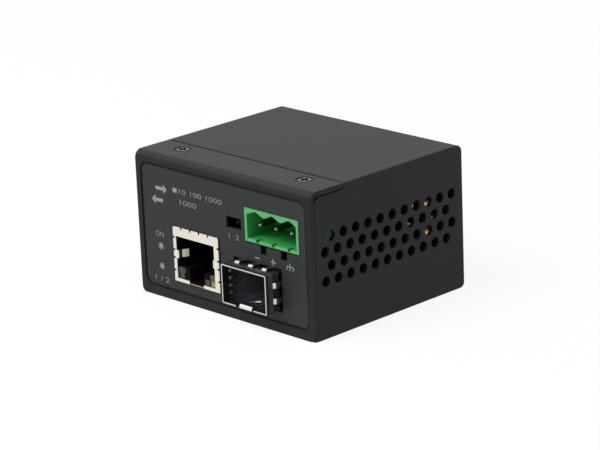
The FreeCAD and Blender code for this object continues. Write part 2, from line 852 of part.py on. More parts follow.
def sfp_cage():
    """Folded cage: a long rectangular tube with a latch leaf in its floor."""
    outer = prism(cage_outline(0, 0), "XZ", cage_front, cage_rear - cage_front, cage_corner)
    inner = prism(cage_outline(-cage_sheet, -cage_sheet), "XZ", cage_front - overshoot,
                  cage_rear - cage_sheet - cage_front + overshoot, cage_corner - cage_sheet)
    floor = cage_bottom + cage_sheet
    slot_half = latch_slot_width / 2
    slot_end = cage_front + latch_length
    slot = block(cage_x - slot_half, cage_x + slot_half, cage_front - overshoot, slot_end,
                 cage_bottom - overshoot, floor)
    half = cage_width / 2 - cage_corner
    socket_slot = block(cage_x - half, cage_x + half, socket_front - socket_slot_gap,
                        cage_rear - socket_slot_gap, cage_bottom - overshoot, floor)
    shell = cut(outer, [inner, slot, socket_slot])
    leaf_half = latch_width / 2
    top = floor + latch_lift
    nose = cage_front + latch_setback
    leaf_path = [(slot_end, floor), (cage_front + latch_length / 2, top),
                 (nose + latch_lip / 2, top), (nose, top - latch_lip)]
    leaf = bent_strip(leaf_path, cage_sheet, 0, "YZ", cage_x - leaf_half, latch_width)
    root = block(cage_x - leaf_half, cage_x + leaf_half, slot_end - cage_sheet,
                 slot_end + cage_sheet, cage_bottom, floor)
    return fuse([shell, leaf, root] + cage_pins(0) + cage_shoulders())


def collar_finger(level, width):
    """One finger in the YZ plane: steeply up behind the band, then down through the panel."""
    start = cage_front + collar_setback
    foot = start + collar_band
    crest = foot + collar_slope
    high = cage_top + collar_finger_rise
    path = [(start + collar_depth, cage_top), (front + cover_sheet / 2, cage_top + collar_waist),
            (crest + collar_crest, high), (crest, high), (foot, cage_top),
            (foot - collar_band / 2, cage_top)]
    return bent_strip(path, -collar_sheet, 0, "YZ", level, width)


def sfp_emi_collar():
    """Thin spring band round the cage's mouth with arched fingers that reach the panel."""
    start = cage_front + collar_setback
    thin = collar_sheet
    ring = prism(cage_outline(thin, thin), "XZ", start, collar_band, cage_corner + thin)
    hollow = prism(cage_outline(0, 0), "XZ", start - overshoot, collar_band + 2 * overshoot,
                   cage_corner)
    across, up = collar_places()
    half = collar_finger_width / 2
    centre = Vector(cage_x, 0, (cage_bottom + cage_top) / 2)
    lean = (cage_width - cage_height) / 2
    fingers = [collar_finger(x - half, collar_finger_width) for x in across]
    for z in up:
        side = collar_finger(cage_x + z - centre.z - half, collar_finger_width)
        side.rotate(centre, Vector(0, 1, 0), 90)
        side.translate(Vector(lean, 0, 0))
        fingers.append(side)
    for finger in fingers[:]:
        opposite = finger.copy()
        opposite.rotate(centre, Vector(0, 1, 0), 180)
        fingers.append(opposite)
    return fuse([ring.cut(hollow)] + fingers)


def sfp_connector():
    """Card-edge socket that receives the module at the cage's rear."""
    half = socket_width / 2
    body = block(cage_x - half, cage_x + half, socket_front, socket_front + socket_depth,
                 board_top, board_top + socket_height)
    nose = half + socket_nose_side
    step = block(cage_x - nose, cage_x + nose, socket_front - overshoot,
                 socket_front + socket_nose, board_top - overshoot,
                 board_top + socket_nose_lift)
    card = half - card_slot_side
    card_z = board_top + card_slot_lift
    slot = block(cage_x - card, cage_x + card, socket_front - overshoot,
                 socket_front + card_slot_depth, card_z - card_slot_height / 2,
                 card_z + card_slot_height / 2)
    return cut(body, [step, slot])


# ---------------------------------------------------------------- terminal block

def terminal_cavity():
    """Socket's room: flat floor, and a roof of three scallops that code the plug."""
    half = terminal_width / 2 - terminal_end_wall
    left = terminal_x - half
    right = terminal_x + half
    floor = terminal_bottom + terminal_floor
    peak = terminal_top - terminal_roof
    valley = terminal_top - terminal_ridge
    centre = terminal_x + scallop_shift
    points = [(left, floor), (right, floor), (right, valley)]
    for i in range(pin_count):
        x = centre + ((pin_count - 1) / 2 - i) * scallop_pitch
        points += [(x + scallop_crown, peak), (x - scallop_crown, peak)]
        if i < pin_count - 1:
            x -= scallop_pitch / 2
            points += [(x + scallop_valley, valley), (x - scallop_valley, valley)]
    points.append((left, valley))
    radii = [0.0, 0.0, 0.0] + [scallop_radius] * (len(points) - 4) + [0.0]
    return prism(points, "XZ", front - overshoot, terminal_cavity_depth + overshoot, radii=radii)


def terminal_housing():
    """Green header body with scalloped coding roof and three notches in its floor."""
    body = prism(terminal_outline(0), "XZ", front, terminal_depth)
    tools = [terminal_cavity()]
    notch = terminal_notch / 2
    hole = terminal_pin / 2
    floor = terminal_bottom + terminal_floor
    for x in pin_places:
        middle = x + terminal_notch_shift
        tools.append(block(middle - notch, middle + notch, front - overshoot,
                           front + terminal_notch_depth,
                           terminal_bottom + terminal_notch_skin, floor + overshoot))
        tools.append(block(x - hole, x + hole, front, front + terminal_depth + overshoot,
                           pin_z - hole, pin_z + hole))
    return cut(body, tools)


def terminal_pins():
    """Square bent pins: contact blade forwards, solder leg up through the power board."""
    pins = []
    half = terminal_pin / 2
    tip = front + terminal_pin_setback
    leg = front + terminal_pin_leg
    top = power_top + terminal_pin_reach
    path = [(tip, pin_z - half), (leg + half, pin_z - half), (leg + half, top)]
    for x in pin_places:
        pin = bent_strip(path, terminal_pin, 0, "YZ", x - half, terminal_pin)
        point = [edge for edge in pin.Edges if abs(edge.CenterOfMass.y - tip) < 1e-6]
        pins.append(pin.makeChamfer(terminal_pin_point, point))
    return Part.makeCompound(pins)


# ---------------------------------------------------------------- mode switch

def lever_slot(x, grow):
    """Room swept by one lever, from its lowest to its highest place."""
    low = switch_window_z - (lever_height + lever_travel) / 2
    return block(x - lever_width / 2 - grow, x + lever_width / 2 + grow,
                 front + switch_setback - overshoot, front + switch_setback + lever_root + grow,
                 low - grow, low + lever_height + lever_travel + grow)


def dip_switch_body():
    """Right-angle switch hung from the power board behind its panel window."""
    half = switch_width / 2
    start = front + switch_setback
    body = block(switch_x - half, switch_x + half, start, start + switch_depth,
                 power_bottom - switch_height, power_bottom)
    return cut(body, [lever_slot(x, lever_gap) for x in lever_places])


def dip_lever(x):
    """One sliding lever at its lower stop; its nose is ribbed by a finger groove."""
    low = switch_window_z - (lever_height + lever_travel) / 2
    start = front + switch_setback
    lever = block(x - lever_width / 2, x + lever_width / 2, start - lever_proud,
                  start + lever_root, low, low + lever_height)
    groove = rod(x - lever_width, start - lever_proud, low + lever_height / 2, lever_groove,
                 2 * lever_width, (1, 0, 0))
    return lever.cut(groove)


# ---------------------------------------------------------------- indicator lamps

def lamp(z):
    """Clear round lamp whose flat front is flush with the label."""
    return rod(lamp_x, label_face, z, lamp_diameter, lamp_length, (0, 1, 0))


def led_holder():
    """Two-storey black lamp holder standing on the main board."""
    half = holder_width / 2
    start = front + holder_setback
    top = lamp_places[-1] + holder_cap
    body = block(lamp_x - half, lamp_x + half, start, start + holder_depth, board_top, top)
    return cut(body, [lamp(z) for z in lamp_places])


# ---------------------------------------------------------------- parts on the boards

def switch_chip():
    """Flat quad package with its leads as one thin skirt, open at the corners."""
    half = chip_side / 2
    top = board_top + chip_height
    body = block(chip_x - half, chip_x + half, chip_y - half, chip_y + half,
                 board_top, top)
    rim = [edge for edge in body.Edges if abs(edge.CenterOfMass.z - top) < 1e-6]
    body = body.makeChamfer(chip_bevel, rim)
    reach = half + chip_lead
    skirt = block(chip_x - reach, chip_x + reach, chip_y - reach, chip_y + reach,
                  board_top, board_top + chip_foot)
    corners = [block(x - chip_lead, x + chip_lead, y - chip_lead, y + chip_lead,
                     board_top - overshoot, board_top + overshoot)
               for x in (chip_x - reach, chip_x + reach)
               for y in (chip_y - reach, chip_y + reach)]
    return fuse([body, skirt.cut(corners)])


def crystal():
    """Low crystal can, oval in plan, beside the chip."""
    x = crystal_place * case_width
    half = crystal_width / 2
    points = rectangle(x - half, x + half, chip_y - crystal_length / 2,
                       chip_y + crystal_length / 2)
    return prism(points, "XY", board_top, crystal_height, half * crystal_end)


def bulk_capacitors():
    """Electrolytic cans hung below the power board."""
    cans = [rod(link_x + capacitor_side + i * capacitor_pitch, rear - capacitor_rear,
                power_bottom - capacitor_height, capacitor_diameter, capacitor_height)
            for i in range(2)]
    return Part.makeCompound(cans)


def power_inductor():
    """Shielded inductor: a square ferrite block with bevelled corners."""
    half = inductor_side / 2
    low = power_bottom - inductor_height
    body = block(inductor_x - half, inductor_x + half, inductor_y - half, inductor_y + half,
                 low, power_bottom)
    uprights = [edge for edge in body.Edges
                if abs(edge.CenterOfMass.z - (low + power_bottom) / 2) < 1e-6]
    return body.makeChamfer(inductor_bevel, uprights)


def regulator_chip():
    """Small-outline package with four leads across its body."""
    y = inductor_y - regulator_step
    half = regulator_length / 2
    side = regulator_width / 2
    body = block(regulator_x - half, regulator_x + half, y - side, y + side,
                 power_bottom - regulator_height, power_bottom)
    leads = []
    for i in range(regulator_pins):
        x = regulator_x + (i - (regulator_pins - 1) / 2) * regulator_pitch
        leads.append(block(x - regulator_lead / 2, x + regulator_lead / 2, y - side - overshoot,
                           y + side + overshoot, power_bottom - chip_foot, power_bottom))
    return fuse([body] + leads)


def input_fuse():
    """Surface fuse: ceramic bar between two slightly larger end caps."""
    y = front + fuse_y
    half = fuse_length / 2
    side = fuse_width / 2
    bar = block(fuse_x - half, fuse_x + half, y - side + fuse_step, y + side - fuse_step,
                power_bottom - fuse_width + fuse_step, power_bottom - fuse_step)
    caps = [block(x - fuse_cap / 2, x + fuse_cap / 2, y - side, y + side,
                  power_bottom - fuse_width, power_bottom)
            for x in (fuse_x - half + fuse_cap / 2, fuse_x + half - fuse_cap / 2)]
    return fuse([bar] + caps)


def link_pin_places():
    places = []
    for i in range(link_pairs):
        for side in (-1, 1):
            places.append((link_x + side * link_pitch / 2,
                           link_y + (i - (link_pairs - 1) / 2) * link_pitch))
    return places


def link_block(low, high):
    half = link_pairs * link_pitch / 2
    return block(link_x - link_pitch, link_x + link_pitch, link_y - half, link_y + half,
                 low, high)


def board_link_socket():
    """Socket strip on the main board."""
    body = link_block(board_top, link_socket_top)
    side = link_pin / 2 + hole_gap
    holes = [block(x - side, x + side, y - side, y + side, board_top + overshoot,
                   link_socket_top + overshoot) for x, y in link_pin_places()]
    return cut(body, holes)


def board_link_header():
    """Pin strip under the power board; its pins end inside the socket."""
    body = link_block(power_bottom - link_header_height, power_bottom)
    side = link_pin / 2
    pins = [block(x - side, x + side, y - side, y + side, board_top + link_pin_setback,
                  power_bottom) for x, y in link_pin_places()]
    return fuse([body] + pins)


# ---------------------------------------------------------------- nodes

nodes = {
    "case_shell": case_shell,
    "front_cover": front_cover,
    "front_label": front_label,
    "cover_screws": cover_screws,
    "base_screws": base_screws,
    "board_spacers": board_spacers,
    "main_board": main_board,
    "power_board": power_board,
    "board_standoffs": board_standoffs,
    "rj45_shield": rj45_shield,
    "rj45_housing": rj45_housing,
    "rj45_contacts": rj45_contacts,
    "rj45_led_green": lambda: jack_led(-1),
    "rj45_led_yellow": lambda: jack_led(1),
    "sfp_cage": sfp_cage,
    "sfp_emi_collar": sfp_emi_collar,
    "sfp_connector": sfp_connector,
    "terminal_housing": terminal_housing,
    "terminal_pins": terminal_pins,
    "dip_switch_body": dip_switch_body,
    "dip_lever_1": lambda: dip_lever(lever_places[0]),
    "dip_lever_2": lambda: dip_lever(lever_places[1]),
    "led_holder": led_holder,
    "led_link": lambda: lamp(lamp_places[0]),
    "led_power": lambda: lamp(lamp_places[1]),
    "switch_chip": switch_chip,
    "crystal": crystal,
    "bulk_capacitors": bulk_capacitors,
    "power_inductor": power_inductor,
    "regulator_chip": regulator_chip,
    "input_fuse": input_fuse,
    "board_link_socket": board_link_socket,
    "board_link_header": board_link_header,
}

os.makedirs("parts", exist_ok=True)
for name, make in nodes.items():
    shape = make()
    shape.exportStep(os.path.join("parts", name + ".step"))
    print(name, len(shape.Solids), "solid(s)", round(shape.Volume, 2), "mm3", shape.isValid())
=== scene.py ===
import math

import bmesh
import bpy
from mathutils import Matrix, Quaternion, Vector


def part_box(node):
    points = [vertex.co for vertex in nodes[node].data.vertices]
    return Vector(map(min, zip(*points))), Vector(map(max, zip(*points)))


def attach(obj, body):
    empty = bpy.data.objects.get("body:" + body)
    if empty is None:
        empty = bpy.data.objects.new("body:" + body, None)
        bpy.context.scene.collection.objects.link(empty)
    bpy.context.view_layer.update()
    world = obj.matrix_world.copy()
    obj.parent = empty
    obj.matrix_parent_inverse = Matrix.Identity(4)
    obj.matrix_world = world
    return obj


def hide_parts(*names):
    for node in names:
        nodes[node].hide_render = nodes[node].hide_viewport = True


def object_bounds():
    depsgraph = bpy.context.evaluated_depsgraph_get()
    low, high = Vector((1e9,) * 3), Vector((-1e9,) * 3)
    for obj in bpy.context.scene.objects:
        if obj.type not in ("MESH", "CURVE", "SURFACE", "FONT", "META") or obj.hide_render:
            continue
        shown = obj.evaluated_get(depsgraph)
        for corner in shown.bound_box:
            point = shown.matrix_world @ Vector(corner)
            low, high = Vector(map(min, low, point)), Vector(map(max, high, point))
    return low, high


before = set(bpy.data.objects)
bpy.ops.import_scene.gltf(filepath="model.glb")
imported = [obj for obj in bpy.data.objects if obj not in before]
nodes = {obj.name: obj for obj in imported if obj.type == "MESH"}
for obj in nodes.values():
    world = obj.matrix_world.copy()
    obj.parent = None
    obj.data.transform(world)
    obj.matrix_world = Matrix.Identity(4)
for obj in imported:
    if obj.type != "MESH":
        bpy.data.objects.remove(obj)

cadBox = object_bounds()
mm = 0.001


def hexLinear(code):
    # sRGB hex to a linear colour with full alpha
    parts = [int(code[i:i + 2], 16) / 255 for i in (1, 3, 5)]
    linear = [c / 12.92 if c <= 0.04045 else ((c + 0.055) / 1.055) ** 2.4 for c in parts]
    return (*linear, 1)


def addNode(tree, kind, inputs=None, **settings):
    # inputs maps a socket's name or number to another node's output, a value or a hex colour
    node = tree.nodes.new("ShaderNode" + kind)
    for name, value in settings.items():
        setattr(node, name, value)
    for key, value in (inputs or {}).items():
        if isinstance(value, bpy.types.NodeSocket):
            tree.links.new(value, node.inputs[key])
        else:
            node.inputs[key].default_value = hexLinear(value) if isinstance(value, str) else value
    return node


def newFinish(name, look):
    # a Principled shader with its constants set on the sockets, and object coordinates
    material = bpy.data.materials.new(name)
    material.use_nodes = True
    tree = material.node_tree
    shader = tree.nodes["Principled BSDF"]
    for socket, value in look.items():
        value = hexLinear(value) if isinstance(value, str) else value
        shader.inputs[socket].default_value = value
    return material, tree, shader, addNode(tree, "TexCoord").outputs["Object"]


def addGrain(tree, shader, place, size, depth, detail=2.0, soften=0.0):
    # fine relief: size and depth in millimetres, edges rounded for the light by soften
    noise = addNode(tree, "TexNoise", {"Vector": place, "Scale": 1 / (size * mm),
                                       "Detail": detail})
    relief = {"Height": noise.outputs["Fac"], "Distance": depth * mm, "Strength": 1.0}
    if soften:
        relief["Normal"] = addNode(tree, "Bevel", {"Radius": soften * mm}, samples=4).outputs[0]
    bump = addNode(tree, "Bump", relief)
    tree.links.new(bump.outputs["Normal"], shader.inputs["Normal"])


def addVariation(tree, shader, place, size, dark, light):
    # slow change between two hex colours over size millimetres
    noise = addNode(tree, "TexNoise", {"Vector": place, "Scale": 1 / (size * mm), "Detail": 3.0})
    mix = addNode(tree, "Mix", {"Factor": noise.outputs["Fac"], 6: dark, 7: light},
                  data_type="RGBA")
    tree.links.new(mix.outputs[2], shader.inputs["Base Color"])
    return mix.outputs[2]


def addSplit(tree, shader, place, axis, limit, soft, below, above):
    # two colours on either side of a plane across the part; limit and soft in millimetres
    along = addNode(tree, "SeparateXYZ", {0: place}).outputs[axis]
    share = addNode(tree, "MapRange", {"Value": along, "From Min": (limit - soft) * mm,
                                       "From Max": (limit + soft) * mm}).outputs[0]
    mix = addNode(tree, "Mix", {"Factor": share, 6: below, 7: above}, data_type="RGBA")
    tree.links.new(mix.outputs[2], shader.inputs["Base Color"])
    return mix.outputs[2]


def dress(material, *names):
    for name in names:
        for place in nodes[name].material_slots:
            place.material = material


# camera, in metres, with its sensor and lens in millimetres and its roll in degrees
camera = {"place": (0.42406, -0.41217, 0.20377), "aim": (0.00803, -0.00789, 0.01939),
          "roll": -2.372, "lens": 157.92, "sensor": 36, "nearest": 0.05}
cameraData = bpy.data.cameras.new("camera")
cameraData.lens = camera["lens"]
cameraData.sensor_width = camera["sensor"]
cameraData.clip_start = camera["nearest"]
cameraObject = bpy.data.objects.new("camera", cameraData)
bpy.context.scene.collection.objects.link(cameraObject)
cameraObject.location = camera["place"]
towards = Vector(camera["aim"]) - Vector(camera["place"])
roll = Quaternion((0, 0, 1), math.radians(camera["roll"]))
cameraObject.rotation_mode = "QUATERNION"
cameraObject.rotation_quaternion = towards.to_track_quat("-Z", "Y") @ roll
bpy.context.scene.camera = cameraObject
bpy.context.scene.view_settings.view_transform = "Standard"
print("camera set")


# studio: pale floor and sky that read as white, softbox above the left front, weak bluish fill
# on the right; places and sizes in metres, power in watts
studio = {"floorSize": 4.0, "floorColour": "#f4f4f2", "floorGlow": 0.9, "skyFill": 0.42,
          "keyPlace": (-0.25, -0.55, 0.85), "keySize": 0.7, "keyPower": 10.2,
          "keyColour": (1.0, 1.0, 1.0),
          "fillPlace": (0.9, -0.1, 0.45), "fillSize": 0.8, "fillPower": 0.5,
          "fillColour": (0.6, 0.78, 1.0)}


def seenDirectly(tree):
    # 1 for rays that show the background: camera, glossy and transmission
    path = addNode(tree, "LightPath")
    first = addNode(tree, "Math", {0: path.outputs["Is Camera Ray"],
                                   1: path.outputs["Is Glossy Ray"]}, operation="MAXIMUM")
    both = addNode(tree, "Math", {0: first.outputs[0],
                                  1: path.outputs["Is Transmission Ray"]}, operation="MAXIMUM")
    return both.outputs[0]


def softbox(name, place, size, power, colour):
    # a square area lamp that faces the origin
    data = bpy.data.lights.new(name, "AREA")
    data.size = size
    data.color = colour
    data.energy = power
    lamp = bpy.data.objects.new(name, data)
    lamp.location = place
    lamp.rotation_mode = "QUATERNION"
    lamp.rotation_quaternion = (-Vector(place)).to_track_quat("-Z", "Y")
    bpy.context.scene.collection.objects.link(lamp)


world = bpy.data.worlds.new("studio sky")
world.use_nodes = True
bpy.context.scene.world = world
skyTree = world.node_tree
strength = addNode(skyTree, "MapRange", {"Value": seenDirectly(skyTree),
                                         "To Min": studio["skyFill"], "To Max": 1.0})
skyTree.links.new(strength.outputs[0], skyTree.nodes["Background"].inputs["Strength"])
skyTree.nodes["Background"].inputs["Color"].default_value = (1, 1, 1, 1)

floorMesh = bpy.data.meshes.new("floor")
floorShape = bmesh.new()
bmesh.ops.create_grid(floorShape, x_segments=1, y_segments=1, size=studio["floorSize"] / 2)
floorShape.to_mesh(floorMesh)
floorShape.free()
floor = bpy.data.objects.new("floor", floorMesh)
bpy.context.scene.collection.objects.link(floor)
floorPaint = bpy.data.materials.new("white sweep paper")
floorPaint.use_nodes = True
floorTree = floorPaint.node_tree
paper = addNode(floorTree, "BsdfDiffuse", {"Color": studio["floorColour"]})
glow = addNode(floorTree, "Emission", {"Strength": 1.0})
share = addNode(floorTree, "Math", {0: seenDirectly(floorTree), 1: studio["floorGlow"]},
                operation="MULTIPLY")
blend = addNode(floorTree, "MixShader", {0: share.outputs[0], 1: paper.outputs[0],
                                         2: glow.outputs[0]})
floorTree.links.new(blend.outputs[0], floorTree.nodes["Material Output"].inputs["Surface"])
floorMesh.materials.append(floorPaint)
softbox("key softbox", studio["keyPlace"], studio["keySize"], studio["keyPower"],
        studio["keyColour"])
softbox("fill softbox", studio["fillPlace"], studio["fillSize"], studio["fillPower"],
        studio["fillColour"])
print("studio lit")


# epoxy-polyester powder coat on folded steel: charcoal, low sheen, faint orange peel. The coat is
# one coat:
# faces that look up get a paler tone of painted light, the cover's copy is painted darker and the
# shell's bluer as painted shade and light, and the shell has a strip of painted shade behind the
# cover's seam
powder = {"Base Color": "#1a1b1d", "Roughness": 0.5, "Specular IOR Level": 0.18}
# painted light and shade: the cover's copy of the coat is darker and the shell's bluer, for how
# each is lit
coats = {"case_shell": {"dark": "#17181d", "light": "#1c1d23", "paintedTop": "#1e1f20", "seam": 0.9},
         "front_cover": {"dark": "#141517", "light": "#18191b", "paintedTop": "#232425", "seam": 0}}
paintedTopRange = {"starts": 0.6, "full": 0.98}  # upward part of the surface's normal
seam = {"colour": "#0c0c0d", "soft": 0.25}
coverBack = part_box("front_cover")[1].y / mm
powderCoat = {}
for name, coat in coats.items():
    powderCoat[name], tree, shader, place = newFinish(
        "powder coated steel " + name.replace("_", " "), powder)
    paint = addVariation(tree, shader, place, size=9, dark=coat["dark"], light=coat["light"])
    paintedTop = coat["paintedTop"]
    # painted shade: shell faces in front of this plane, just behind the cover's seam, take the
    # dark colour
    if coat["seam"]:
        paintedTop = addSplit(tree, shader, place, "Y", coverBack + coat["seam"], seam["soft"],
                         seam["colour"], paintedTop)
    # painted light: faces whose normal looks up are mixed towards the paler top colour
    facing = addNode(tree, "SeparateXYZ", {0: addNode(tree, "NewGeometry").outputs["Normal"]})
    level = addNode(tree, "MapRange", {"Value": facing.outputs["Z"],
                                       "From Min": paintedTopRange["starts"], "From Max": paintedTopRange["full"]})
    paintedTopMix = addNode(tree, "Mix", {"Factor": level.outputs[0], 6: paint, 7: paintedTop},
                    data_type="RGBA")
    tree.links.new(paintedTopMix.outputs[2], shader.inputs["Base Color"])
    addGrain(tree, shader, place, size=0.45, depth=0.012, detail=3.0, soften=0.12)
    dress(powderCoat[name], name)

# polycarbonate overlay printed on its back: matt screen texture, a little lighter than the paint,
# with painted shade of the pocket's gap: a dark line along its rounded edge
film = {"Base Color": "#28292b", "Roughness": 0.55, "Specular IOR Level": 0.2}
paintedGapShade = {"corner": 2.2, "width": 0.42, "fade": 0.05, "colour": "#060607"}
overlayFilm, tree, shader, place = newFinish("matt polycarbonate film", film)
tone = addVariation(tree, shader, place, size=14, dark="#262729", light="#2a2b2d")
filmLow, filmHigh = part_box("front_label")
middle = (filmLow + filmHigh) / 2
reach = (filmHigh - filmLow) / 2
square = (reach.x - paintedGapShade["corner"] * mm, 1, reach.z - paintedGapShade["corner"] * mm)
offset = addNode(tree, "VectorMath", {0: place, 1: middle}, operation="SUBTRACT").outputs[0]
folded = addNode(tree, "VectorMath", {0: offset}, operation="ABSOLUTE").outputs[0]
beyond = addNode(tree, "VectorMath", {0: folded, 1: square}, operation="SUBTRACT").outputs[0]
corner = addNode(tree, "VectorMath", {0: beyond, 1: (0, 0, 0)}, operation="MAXIMUM").outputs[0]
away = addNode(tree, "VectorMath", {0: corner}, operation="LENGTH").outputs["Value"]
inner = paintedGapShade["corner"] - paintedGapShade["width"]
# painted shade: the film's outer band along its rounded edge goes dark
line = addNode(tree, "MapRange", {"Value": away, "From Min": inner * mm,
                                  "From Max": (inner + paintedGapShade["fade"]) * mm})
gapShadeMix = addNode(tree, "Mix", {"Factor": line.outputs[0], 6: tone, 7: paintedGapShade["colour"]},
                data_type="RGBA")
tree.links.new(gapShadeMix.outputs[2], shader.inputs["Base Color"])
addGrain(tree, shader, place, size=0.3, depth=0.004)
dress(overlayFilm, "front_label")

# black oxide on a steel screw: dark satin metal, rubbed pale on its head, with painted shade in
# the recess and a ring of painted shade round the rim, where the countersink's gap lies
oxide = {"Base Color": "#6f706e", "Roughness": 0.42, "Metallic": 1.0}
screwHead = {"radius": 1.95, "ring": 0.14, "paintedRimShadeFade": 0.1, "paintedRimShadeColour": "#161616",
             "recess": 0.07, "recessFade": 0.03, "recessColour": "#040404"}
blackOxide, tree, shader, place = newFinish("black oxide steel", oxide)
rubbed = addVariation(tree, shader, place, size=0.8, dark="#585958", light="#8a8b89")
screwLow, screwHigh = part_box("cover_screws")
# painted shade: below the head's top the recess goes black
paintedRecessMix = addSplit(tree, shader, place, "Z", screwHigh.z / mm - screwHead["recess"],
                screwHead["recessFade"], screwHead["recessColour"], rubbed)
# painted shade: a dark ring round the head's rim
folded = addNode(tree, "VectorMath", {0: place}, operation="ABSOLUTE").outputs[0]
level = addNode(tree, "VectorMath", {0: folded, 1: (1, 1, 0)}, operation="MULTIPLY").outputs[0]
axis = (screwHigh.x - screwHead["radius"] * mm, -(screwLow.y + screwHigh.y) / 2, 0)
away = addNode(tree, "VectorMath", {0: level, 1: axis}, operation="DISTANCE").outputs["Value"]
inner = screwHead["radius"] - screwHead["ring"]
ring = addNode(tree, "MapRange", {"Value": away, "From Min": inner * mm,
                                  "From Max": (inner + screwHead["paintedRimShadeFade"]) * mm})
paintedRimShadeMix = addNode(tree, "Mix", {"Factor": ring.outputs[0], 6: paintedRecessMix, 7: screwHead["paintedRimShadeColour"]},
                 data_type="RGBA")
tree.links.new(paintedRimShadeMix.outputs[2], shader.inputs["Base Color"])
addGrain(tree, shader, place, size=0.2, depth=0.006, soften=0.08)
dress(blackOxide, "cover_screws")

# zinc plate on steel: bluish silver, soft and slightly mottled
zinc = {"Base Color": "#b9bcc0", "Roughness": 0.35, "Metallic": 1.0}
zincPlate, tree, shader, place = newFinish("zinc plated steel", zinc)
addVariation(tree, shader, place, size=0.9, dark="#a9acb1", light="#c6c8ca")
addGrain(tree, shader, place, size=0.15, depth=0.004)
dress(zincPlate, "base_screws", "board_spacers")

# free-cutting brass, turned: warm yellow, satin from the tool
brassLook = {"Base Color": "#e0b068", "Roughness": 0.26, "Metallic": 1.0}
brass, tree, shader, place = newFinish("turned brass", brassLook)
addVariation(tree, shader, place, size=1.5, dark="#d3a059", light="#ecc07a")
addGrain(tree, shader, place, size=0.12, depth=0.004)
dress(brass, "board_standoffs")

# glass-epoxy board under solder mask: deep green, glossy, slightly uneven, with bare laminate
# at its routed edges
maskLook = {"Base Color": "#0f4a2c", "Roughness": 0.3, "Specular IOR Level": 0.5}
boardEdges = {"main_board": "#a08a5c", "power_board": "#1d2a1e"}
for name, bare in boardEdges.items():
    solderMask, tree, shader, place = newFinish("solder mask on " + name.replace("_", " "),
                                                maskLook)
    mask = addVariation(tree, shader, place, size=2.2, dark="#0c3f26", light="#13583a")
    facing = addNode(tree, "SeparateXYZ", {0: addNode(tree, "NewGeometry").outputs["Normal"]})
    upright = addNode(tree, "Math", {0: facing.outputs["Z"]}, operation="ABSOLUTE")
    routed = addNode(tree, "Math", {0: upright.outputs[0], 1: 0.5}, operation="LESS_THAN")
    edge = addNode(tree, "Mix", {"Factor": routed.outputs[0], 6: mask, 7: bare},
                   data_type="RGBA")
    tree.links.new(edge.outputs[2], shader.inputs["Base Color"])
    addGrain(tree, shader, place, size=0.35, depth=0.006)
    dress(solderMask, name)

# bright tin on brass sheet: warm silver, soft from the plating bath
tinLook = {"Base Color": "#ece8df", "Roughness": 0.34, "Metallic": 1.0}
tinnedBrass, tree, shader, place = newFinish("tinned brass sheet", tinLook)
addVariation(tree, shader, place, size=2.5, dark="#e1dccf", light="#ede7dc")
addGrain(tree, shader, place, size=0.35, depth=0.004, soften=0.06)
dress(tinnedBrass, "rj45_shield")

# glass-filled nylon, moulded: black, dull
nylon = {"Base Color": "#060608", "Roughness": 0.65, "Specular IOR Level": 0.06}
blackNylon, tree, shader, place = newFinish("moulded black nylon", nylon)
addVariation(tree, shader, place, size=1.2, dark="#050507", light="#08080b")
addGrain(tree, shader, place, size=0.2, depth=0.006)
dress(blackNylon, "rj45_housing", "led_holder", "board_link_socket", "board_link_header")

# liquid-crystal polymer of the module socket: slate, a little lighter than the nylon
polymer = {"Base Color": "#3a3e46", "Roughness": 0.55, "Specular IOR Level": 0.3}
slatePolymer, tree, shader, place = newFinish("moulded slate polymer", polymer)
addVariation(tree, shader, place, size=1.5, dark="#363a42", light="#40444c")
addGrain(tree, shader, place, size=0.2, depth=0.005)
dress(slatePolymer, "sfp_connector")

# hard gold over nickel: warm, nearly mirror bright
goldLook = {"Base Color": "#f0c98a", "Roughness": 0.2, "Metallic": 1.0}
hardGold, tree, shader, place = newFinish("hard gold plate", goldLook)
addVariation(tree, shader, place, size=0.7, dark="#e6bd7c", light="#f6d49b")
addGrain(tree, shader, place, size=0.1, depth=0.002)
dress(hardGold, "rj45_contacts")

# tinted epoxy lamp blocks, cast: clear green and olive yellow, dark while off
lampBlocks = {"rj45_led_green": ("#163327", "#1b3f30"), "rj45_led_yellow": ("#77763e", "#8b8b4a")}
for name, (dark, light) in lampBlocks.items():
    epoxy, tree, shader, place = newFinish(name.replace("rj45_led_", "") + " tinted epoxy", {
        "Base Color": light, "Roughness": 0.25, "Specular IOR Level": 0.5})
    addVariation(tree, shader, place, size=0.8, dark=dark, light=light)
    addGrain(tree, shader, place, size=0.4, depth=0.004)
    dress(epoxy, name)

# nickel on copper alloy: olive grey where rolled; a bright copy is painted highlight on the
# sheared faces and the latch nose, a lighter, bluish, rougher copy painted light inside the cage,
# a darker copy painted shade on the leaves; dark and light colour, roughness and the size of the
# mottling
nickels = {"rolled": ("#84857c", "#93948b", 0.22, 3.0),
           "rubbed": ("#dcddd4", "#eaebe3", 0.2, 1.0),
           "spring": ("#c4c5ba", "#d3d4cb", 0.22, 3.0),
           # painted light: the inside copy, lighter and bluer than the rolled face
           "dull": ("#bcc1cb", "#d0d4dc", 0.4, 2.0),
           # painted shade: the leaves' copy, darker than the rolled face
           "tarnished": ("#75766f", "#93948d", 0.4, 0.7)}
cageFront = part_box("sfp_cage")[0].y / mm
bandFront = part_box("sfp_emi_collar")[0].y / mm
# front ends with painted light and shade: where it stops, how softly, and the colour. The cage's
# front edge gets a painted highlight; the inside of the cage's mouth and the collar's front edge
# get painted shade
paintedFrontEnds = {"rolled": (cageFront + 0.06, 0.04, "#cdcec4"),
             "dull": (cageFront + 4, 2.5, "#54554e"),
             "spring": (bandFront + 0.1, 0.04, "#37382f")}
